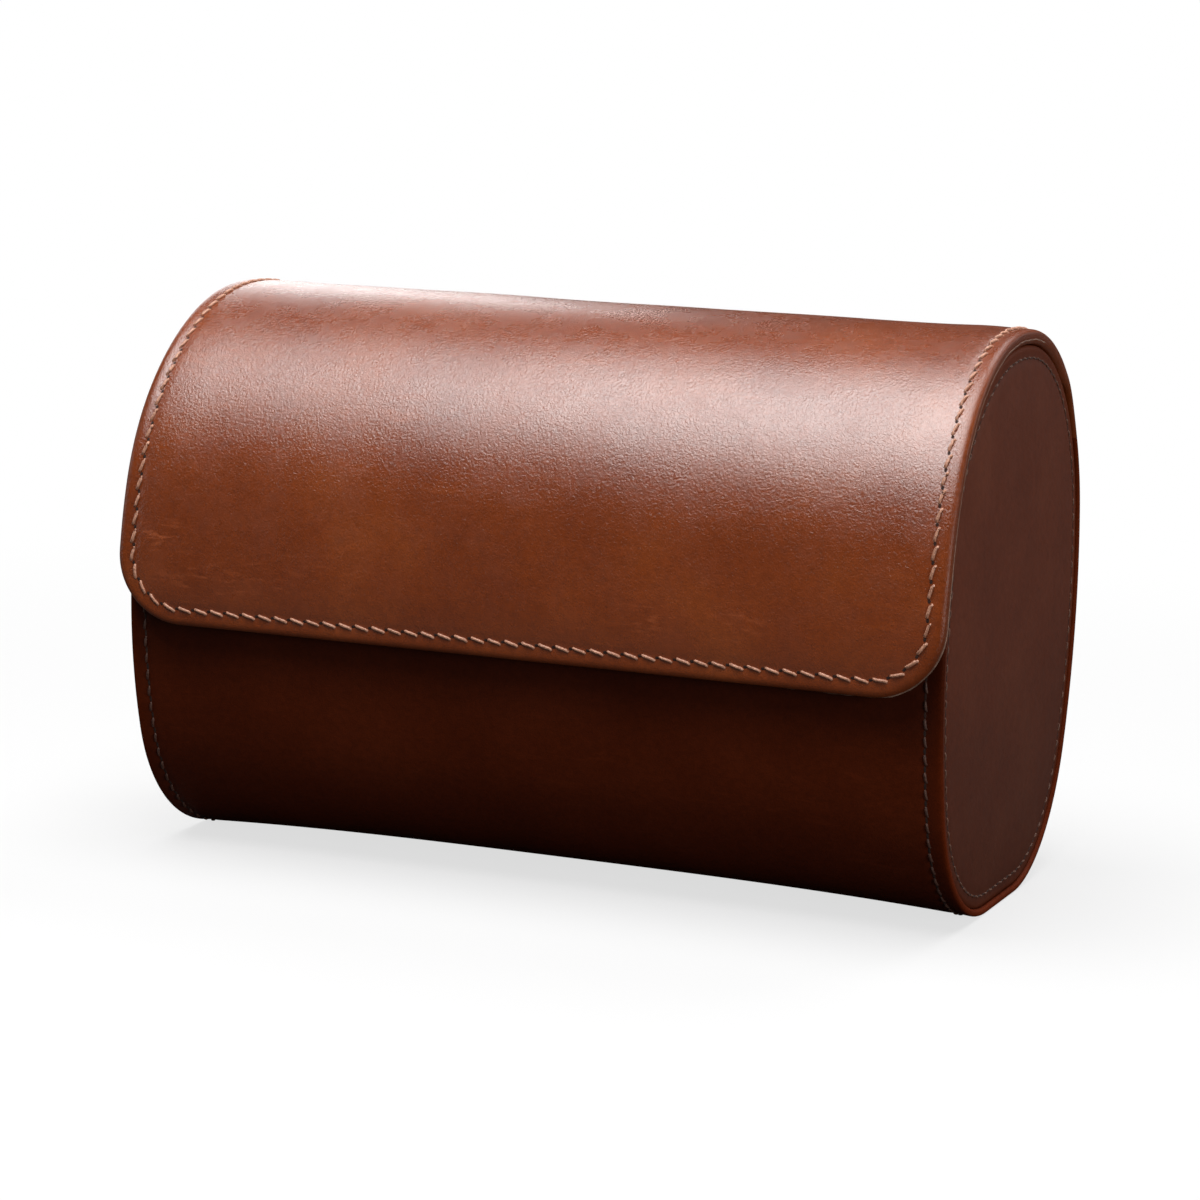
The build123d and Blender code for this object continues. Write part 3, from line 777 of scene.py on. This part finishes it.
def tube(line, first, second, radius, sides, closed=False):
    """Points and faces of a tube along a line, from two directions across it at each point."""
    turns = [2 * pi * i / sides for i in range(sides)]
    rings = np.stack([line + radius * (cos(a) * first + sin(a) * second) for a in turns], axis=1)
    faces = list(grid_faces(len(line), sides, wrap=True))
    last = (len(line) - 1) * sides
    if closed:
        faces += [(last + i, last + (i + 1) % sides, (i + 1) % sides, i) for i in range(sides)]
    else:
        faces += [list(range(sides))[::-1], list(range(last, last + sides))]
    return rings.reshape(-1, 3), faces


def thread_tube(points, radius, sides=8):
    """A tube through a few points, thinner at both ends."""
    line = np.array(points)
    ahead = unit(np.gradient(line, axis=0))
    first = unit(np.cross(ahead, [0.31, 0.55, 0.77]))
    radii = np.full((len(line), 1), float(radius))
    radii[[0, -1]] *= THREAD_TAPER
    return tube(line, first, np.cross(ahead, first), radii, sides)


def stitch_line(surface, middle, pitch, radius, cover, lean, jitter):
    """Points along one stitch, which leans across its row and hooks at its far end."""
    line = []
    for share in STITCH_SHARES:
        along = middle + (share * cover / 2 + 0.04 * jitter) * pitch
        dive = (radius + DIVE_DEPTH) * abs(share) ** 8
        rise = STITCH_RISE * (radius / THREAD_RADIUS) * (1 - 0.75 * abs(share) ** 4) - dive - STITCH_LOW
        aside = -lean * (1 + 0.3 * jitter) * share - HOOK * lean * max(0.0, share - HOOK_FROM)
        line.append(surface(along, aside, rise))
    return line


def needle_hole(surface, along, radius, gap, sides=10):
    """A shallow dark lens where the needle went through, longer along the row: painted shade for the hollow of the
    hole.
    """
    offset = HOLE_ASIDE * radius
    centre = surface(along, offset, 0.0)
    ahead = unit(surface(along + 0.3, offset, 0.0) - centre)
    aside = unit(surface(along, offset + 0.3, 0.0) - centre)
    up = unit(surface(along, offset, 0.3) - centre)
    points = []
    for size, height in HOLE_RINGS:
        for i in range(sides):
            a = 2 * pi * i / sides
            spot = ahead * cos(a) * (gap / 2 + 0.06) + aside * sin(a) * radius * 1.2
            points.append(centre + spot * size + up * height)
    points += [centre + up * HOLE_TOP, centre + up * HOLE_BOTTOM]
    faces = list(grid_faces(len(HOLE_RINGS), sides, wrap=True))
    bottom = len(points) - 1
    top = bottom - 1
    last = top - sides
    faces += [(last + i, last + (i + 1) % sides, top) for i in range(sides)]
    faces += [((i + 1) % sides, i, bottom) for i in range(sides)]
    return np.array(points), faces


def joined(parts):
    """One list of points and one of faces from several (points, faces)."""
    points, faces, base = [], [], 0
    for part_points, part_faces in parts:
        points.append(part_points)
        faces += [[base + i for i in face] for face in part_faces]
        base += len(part_points)
    return np.concatenate(points), faces


def stitch_row(name, surface, length, body, material, slot, radius=THREAD_RADIUS, cover=0.78, lean=0.3, closed=False):
    """Stitches and needle holes along a row, put on their body if they have one.

    surface(along, offset, rise) gives a point by the row, and cover is the share of the pitch under thread.
    """
    count = round(length / STITCH_PITCH)
    pitch = length / count
    threads, holes = [], []
    for k in range(count):
        jitter = 0.12 * sin(k * 2.4) + 0.08 * sin(k * 5.1)
        line = stitch_line(surface, (k + 0.5) * pitch, pitch, radius, cover, lean, jitter)
        threads.append(thread_tube(line, radius * (1 + 0.5 * jitter)))
        if k or closed:
            holes.append(needle_hole(surface, k * pitch, radius, pitch * (1 - cover)))
    for piece in (
        mesh_object(name, *joined(threads), material, SHARP_ROUND),
        mesh_object(name + "_holes", *joined(holes), hole_dark, SHARP_ROUND),
    ):
        if body:
            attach(piece, body)
        else:
            bend(piece)


# The flap's seam runs down its left side, along its lower edge and up its right side
FLAP_SIDE = HALF_LENGTH + FLAP_OVERHANG
FLAP_ROW_START = FLAP_HEIGHT - STITCH_INSET
ROW_RADIUS = FLAP_CORNER - STITCH_INSET
ROW_STRAIGHT = FLAP_ROW_START - FLAP_CORNER
ROW_BOTTOM = 2 * (FLAP_SIDE - FLAP_CORNER)
ROW_TURN = pi / 2 * ROW_RADIUS
FLAP_ROW_LENGTH = 2 * (ROW_STRAIGHT + ROW_TURN) + ROW_BOTTOM


def flap_row(along, offset, rise):
    side = -1
    if along > FLAP_ROW_LENGTH / 2:
        side = 1
        along = FLAP_ROW_LENGTH - along
    inset = STITCH_INSET + offset
    if along < ROW_STRAIGHT:
        t = FLAP_ROW_START - along
        x = flap_half(t) - inset
    elif along < ROW_STRAIGHT + ROW_TURN:
        angle = (along - ROW_STRAIGHT) / ROW_RADIUS
        reach = FLAP_CORNER - inset
        x = FLAP_SIDE - FLAP_CORNER + reach * cos(angle)
        t = FLAP_CORNER - reach * sin(angle)
    else:
        x, t = FLAP_SIDE - FLAP_CORNER - (along - ROW_STRAIGHT - ROW_TURN), inset
    return flap_point(side * x, t, rise)


stitch_row("flap_stitches", flap_row, FLAP_ROW_LENGTH, None, thread, "flap_leather")


def hinge_row(along, offset, rise):
    """The seam across the back, where the flap's leather is sewn to the wrap."""
    return flap_point(along - HALF_LENGTH + STITCH_INSET, FLAP_ROW_START - offset, rise)


stitch_row("hinge_stitches", hinge_row, LENGTH - 2 * STITCH_INSET, None, thread, "flap_leather")


# The thin raw line of the flap's under layer, along the foot of its rolled edge and out furthest at one corner
RAW_FROM, RAW_SHARE, RAW_POINTS = 0.08, 0.84, 360
RAW_RADIUS, RAW_OFFSET, RAW_DEPTH, RAW_WAVE = 0.2, 0.16, -1.7, 0.05
RAW_OUT, RAW_OUT_AT, RAW_OUT_WIDTH = 0.28, 0.655, 0.05


def make_raw_edge():
    steps = np.arange(RAW_POINTS + 1)
    line = []
    for share in RAW_FROM + RAW_SHARE * steps / RAW_POINTS:
        out = RAW_OUT * hill(share - RAW_OUT_AT, RAW_OUT_WIDTH)
        line.append(flap_row(FLAP_ROW_LENGTH * share, RAW_OFFSET - out - STITCH_INSET, RAW_DEPTH))
    line = np.array(line)
    line[:, 2] += RAW_WAVE * (np.sin(steps * 1.7) + np.sin(steps * 0.61))
    points, faces = thread_tube(line, RAW_RADIUS, 6)
    piece = mesh_object("flap_raw_edge", points, faces, raw_edge, SHARP_ROUND)
    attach(piece, "flap")


make_raw_edge()

# The wrap's seams stop short of its lip and of its back edge
WALL_ROW_FROM, WALL_ROW_TO = 3.0, 1.2
WALL_ROW_LENGTH = WALL_BACK - WALL_LIP - WALL_ROW_FROM - WALL_ROW_TO
WALL_LOOK = {"radius": 0.22, "cover": 0.6, "lean": 0.12}
END_LOOK = {"radius": 0.17, "cover": 0.5, "lean": 0.1, "closed": True}


def wall_row(direction, along, offset, rise):
    """The seam along one end of the wrap, kept off the table under the foot."""
    x = direction * (HALF_LENGTH - STITCH_INSET - offset)
    spot = wall_point(x, WALL_LIP + WALL_ROW_FROM + along, rise)
    spot[2] = max(spot[2], THREAD_CLEARANCE)
    return spot


def end_row(direction, along, offset, rise):
    """The seam round one end panel."""
    return end_point(direction, along % ROUND_TRIP, END_STITCH_INSET + offset, rise)


for side_name, direction in (("left", -1), ("right", 1)):
    name, row = f"{side_name}_wall_stitches", partial(wall_row, direction)
    stitch_row(name, row, WALL_ROW_LENGTH, "case", shaded_wall_thread, "wrap_leather", **WALL_LOOK)
    name, row = f"{side_name}_end_stitches", partial(end_row, direction)
    stitch_row(name, row, ROUND_TRIP, "case", end_thread, "end_leather", **END_LOOK)

# Cushions: a suede sleeve with two end panels, blown up a little by its filling and held in at the seams
CUSHION_SEAM = CUSHION_LENGTH / 2 - CUSHION_DOME
CUSHION_TURNS, SLEEVE_RINGS = 112, 31
DOME_SHARES = (0.12, 0.25, 0.38, 0.5, 0.62, 0.73, 0.83, 0.91, 0.96)
CUSHION_SLACK, CRUMPLE, TIP_RISE = 1.6, 0.16, 0.05
PIPING_RADIUS, PIPING_OUT = 0.75, 1.008

# Cloth is worked at a larger scale, where the solver is steady, and no point moves further than the limit
SIM_SCALE, SIM_STEPS, SWELL_LIMIT = 10.0, 20, 1.1
CLOTH = {
    "quality": 6,
    "mass": 0.25,
    "tension_stiffness": 12,
    "compression_stiffness": 12,
    "shear_stiffness": 4,
    "bending_stiffness": 0.6,
    "shrink_min": -0.035,
    "vertex_group_mass": "seams",
    "pin_stiffness": 1.0,
    "use_pressure": True,
    "uniform_pressure_force": 4.0,
}


def cushion_rings():
    """Rings of the cushion as (x, half depth, half height), from one end to the other."""
    dome = []
    for share in DOME_SHARES:
        x = CUSHION_SEAM + CUSHION_DOME * (1 - share**DOME_ROUNDNESS) ** (1 / DOME_ROUNDNESS)
        dome.append((-x, share))
    sleeve = [(x, 1.0) for x in np.linspace(-CUSHION_SEAM, CUSHION_SEAM, SLEEVE_RINGS)]
    rings = []
    for x, share in dome + sleeve + [(-x, share) for x, share in reversed(dome)]:
        drawn_in = CUSHION_DRAW_IN * min(1.0, (abs(x) / CUSHION_SEAM) ** 2)
        depth, height = ((full - CUSHION_SLACK) / 2 - drawn_in for full in (CUSHION_DEPTH, CUSHION_HEIGHT))
        rings.append((x, depth * share, height * share))
    return rings


def blow_up(piece, seam_rings):
    """Points of the cover as cloth under a little pressure, held at its seams."""
    start = np.array([v.co for v in piece.data.vertices])
    held = piece.vertex_groups.new(name="seams")
    for ring in seam_rings:
        held.add(range(ring * CUSHION_TURNS, (ring + 1) * CUSHION_TURNS), 1.0, "REPLACE")
    cloth = piece.modifiers.new("cloth", "CLOTH")
    cloth.settings.effector_weights.gravity = 0
    for name, value in CLOTH.items():
        setattr(cloth.settings, name, value)
    scene = bpy.context.scene
    for step in range(1, SIM_STEPS + 1):
        scene.frame_set(step)
    shaped = piece.evaluated_get(bpy.context.evaluated_depsgraph_get())
    move = np.array([v.co for v in shaped.data.vertices]) - start
    piece.modifiers.remove(cloth)
    piece.vertex_groups.clear()
    scene.frame_set(1)
    far = np.linalg.norm(move, axis=1, keepdims=True)
    limit = SWELL_LIMIT * SIM_SCALE * MM
    return start + move * np.minimum(1.0, limit / np.maximum(far, 1e-9)) * np.tanh(far / limit)


def make_cushion(name, middle, seed):
    """The cover, and the two rings of points along its seams."""
    turns = np.arange(CUSHION_TURNS) * 2 * pi / CUSHION_TURNS
    round_y, round_z = np.cos(turns), np.sin(turns)
    points = []
    for x, depth, height in cushion_rings():
        crumple = CRUMPLE * wander(18 * round_y + 2 * x, 18 * round_z - 3 * x, seed)
        ring = (np.full_like(turns, x), (depth + crumple) * round_y, (height + crumple) * round_z)
        points.append(np.stack(ring, axis=1))
    count = len(points)
    tip = abs(points[0][0, 0]) + TIP_RISE
    points = np.concatenate(points + [np.array([[-tip, 0, 0], [tip, 0, 0]])])
    faces = list(grid_faces(count, CUSHION_TURNS, wrap=True, flip=True))
    first = count * CUSHION_TURNS
    top = (count - 1) * CUSHION_TURNS
    for i in range(CUSHION_TURNS):
        k = (i + 1) % CUSHION_TURNS
        faces.append((first, k, i))
        faces.append((first + 1, top + i, top + k))
    cover = mesh_object(name, points * SIM_SCALE, faces, cushion_suede, 75)
    seams = [len(DOME_SHARES), count - 1 - len(DOME_SHARES)]
    shaped = blow_up(cover, seams) / SIM_SCALE
    shaped += np.array([middle, 0, CUSHION_LEVEL]) * MM
    cover.data.vertices.foreach_set("co", shaped.astype(np.float32).ravel())
    finer = cover.modifiers.new("finer", "SUBSURF")
    finer.levels = finer.render_levels = 1
    return cover, [shaped[r * CUSHION_TURNS : (r + 1) * CUSHION_TURNS] / MM for r in seams]


def piping_tube(line):
    """A closed cord along a ring of points."""
    ahead = unit(np.roll(line, -1, axis=0) - np.roll(line, 1, axis=0))
    out = unit((line - line.mean(axis=0)) * [0, 1, 1])
    return tube(line, out, np.cross(ahead, out), PIPING_RADIUS, 8, closed=True)


for side_name, direction, seed in (("left", -1, 0.4), ("right", 1, 2.9)):
    cover, seam_lines = make_cushion(f"{side_name}_cushion_cover", direction * CUSHION_MIDDLE, seed)
    body = f"{side_name}_cushion"
    nodes_within = [f"{side_name}_cushion_{part}" for part in ("sleeve", "end_panels", "core")]
    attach(cover, body)
    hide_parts(*nodes_within)
    for k, line in enumerate(seam_lines):
        centre = line.mean(axis=0)
        tube_points, faces = piping_tube(centre + (line - centre) * PIPING_OUT)
        piping = mesh_object(f"{side_name}_piping_{k + 1}", tube_points, faces, cushion_suede, SHARP_ROUND)
        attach(piping, body)

# Materials of the CAD pieces that keep their own shape
for nodes_of, material in (
    (("wall_lining", "left_end_lining", "right_end_lining", "divider_lining", "flap_lining"), lining_suede),
    (("front_lip_binding",), edge_leather),
    (("flap_board", "divider_board", "left_end_board", "right_end_board"), board),
    (("wall_magnets", "flap_discs"), nickel),
):
    for node in nodes_of:
        for material_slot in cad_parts[node].material_slots:
            material_slot.material = material

# Camera at the photograph's viewing angle, its focal length and aim in the photo's pixels
AZIMUTH, ELEVATION, ROLL = 21.6, 8.61, 2.08
DISTANCE, FOCAL_PIXELS, PHOTO_PIXELS = 628.8, 3609.0, 1200.0
AIM_PIXEL, SENSOR = (612.5, 587.5), 36.0


def make_camera():
    azimuth, elevation, roll = radians(AZIMUTH), radians(ELEVATION), radians(ROLL)
    back = Vector((sin(azimuth) * cos(elevation), -cos(azimuth) * cos(elevation), sin(elevation)))
    right = (-back).cross(Vector((0, 0, 1))).normalized()
    up = right.cross(-back).normalized()
    rolled_right = right * cos(roll) + up * sin(roll)
    rolled_up = up * cos(roll) - right * sin(roll)
    data = bpy.data.cameras.new("camera")
    data.sensor_width = SENSOR
    data.lens = SENSOR * FOCAL_PIXELS / PHOTO_PIXELS
    data.shift_x = -(AIM_PIXEL[0] / PHOTO_PIXELS - 0.5)
    data.shift_y = AIM_PIXEL[1] / PHOTO_PIXELS - 0.5
    data.clip_start, data.clip_end = 0.01, 50
    camera = add_object("camera", data)
    axes = Matrix((rolled_right, rolled_up, back)).transposed()
    place = Vector((0, 0, MID * MM)) + back * DISTANCE * MM
    camera.matrix_world = Matrix.Translation(place) @ axes.to_4x4()
    bpy.context.scene.camera = camera


make_camera()

# Floor, world and lamps, in metres and watts
FLOOR_RADIUS = 0.9
SHADOW_FROM, SHADOW_TO, SHADOW_SHARE = 0.10, 0.42, 0.30
WHITE, PAPER, BOUNCE = (1.0, 1.0, 1.0), (0.54, 0.54, 0.54), (0.06, 0.057, 0.054)
AMBIENT = 0.04

# Name, position, the point it faces, size and power. The one overhead makes the bright band on the flap.
LAMPS = (
    ("overhead", (-0.07, -0.235, 0.78), (-0.06, -0.20, 0.0), (0.76, 0.86), 12.0),
    ("front_right", (1.05, -0.55, 0.27), (0, 0, 0.05), (0.9, 0.5), 7.4),
    ("front_left", (-1.20, -0.25, 0.30), (0, 0, 0.05), (1.1, 0.6), 2.0),
    ("back_high", (0.25, 0.75, 1.05), (0, 0, 0.05), (0.6, 0.6), 6.0),
    ("back_left", (-0.85, 0.95, 0.45), (0, 0, 0.05), (0.9, 0.7), 4.0),
    ("back_right", (0.85, 0.95, 0.45), (0, 0, 0.05), (0.9, 0.7), 2.4),
)


def coloured(nodes, kind, colour):
    node = nodes.new(kind)
    fill(node, Color=(*colour, 1.0))
    return node.outputs[0]


def mixed(nodes, links, factor, first, second):
    """A mix of two shaders: the first where the factor is 0, the second where it is 1."""
    node = nodes.new("ShaderNodeMixShader")
    for socket, value in zip(node.inputs, (factor, first, second)):
        links.new(value, socket)
    return node.outputs["Shader"]


def seen_directly(nodes, links):
    """1 for what is seen straight on or through something clear, 0 for light on the case."""
    path = nodes.new("ShaderNodeLightPath")
    either = nodes.new("ShaderNodeMath")
    either.operation = "MAXIMUM"
    links.new(path.outputs["Is Camera Ray"], either.inputs[0])
    links.new(path.outputs["Is Transmission Ray"], either.inputs[1])
    return either.outputs[0]


def near_case(nodes, links):
    """Share of the floor's own shade, falling to 0 away from the case."""
    place = nodes.new("ShaderNodeTexCoord").outputs["Object"]
    distance = nodes.new("ShaderNodeVectorMath")
    distance.operation = "LENGTH"
    links.new(place, distance.inputs[0])
    near = nodes.new("ShaderNodeMapRange")
    near.interpolation_type = "SMOOTHSTEP"
    fill(near, From_Min=SHADOW_FROM, From_Max=SHADOW_TO, To_Min=SHADOW_SHARE, To_Max=0.0)
    links.new(distance.outputs["Value"], near.inputs["Value"])
    return near.outputs["Result"]


def make_floor():
    """A round pale floor, which takes the case's shadow and fades to the white backdrop."""
    bm = bmesh.new()
    bmesh.ops.create_circle(bm, cap_ends=True, segments=96, radius=FLOOR_RADIUS)
    mesh = bpy.data.meshes.new("floor")
    bm.to_mesh(mesh)
    bm.free()
    floor = add_object("floor", mesh)
    material = bpy.data.materials.new("floor")
    nodes, links = fresh_tree(material)
    white = coloured(nodes, "ShaderNodeEmission", WHITE)
    paper = coloured(nodes, "ShaderNodeBsdfDiffuse", PAPER)
    bounce = coloured(nodes, "ShaderNodeBsdfDiffuse", BOUNCE)
    seen = mixed(nodes, links, near_case(nodes, links), white, paper)
    output = nodes.new("ShaderNodeOutputMaterial")
    links.new(mixed(nodes, links, seen_directly(nodes, links), bounce, seen), output.inputs["Surface"])
    mesh.materials.append(material)


def make_world():
    """White where it is seen, and a dim studio where it lights the case."""
    world = bpy.data.worlds.new("world")
    bpy.context.scene.world = world
    nodes, links = fresh_tree(world)
    seen = coloured(nodes, "ShaderNodeBackground", WHITE)
    ambient = coloured(nodes, "ShaderNodeBackground", WHITE)
    fill(ambient.node, Strength=AMBIENT)
    output = nodes.new("ShaderNodeOutputWorld")
    links.new(mixed(nodes, links, seen_directly(nodes, links), ambient, seen), output.inputs["Surface"])


make_floor()
make_world()
for name, position, target, size, power in LAMPS:
    data = bpy.data.lights.new(name, "AREA")
    data.shape = "ELLIPSE"
    data.size, data.size_y = size
    data.energy = power
    lamp = add_object(name, data)
    lamp.location = position
    lamp.rotation_euler = (Vector(target) - Vector(position)).to_track_quat("-Z", "Y").to_euler()
bpy.context.scene.view_settings.view_transform = "Standard"
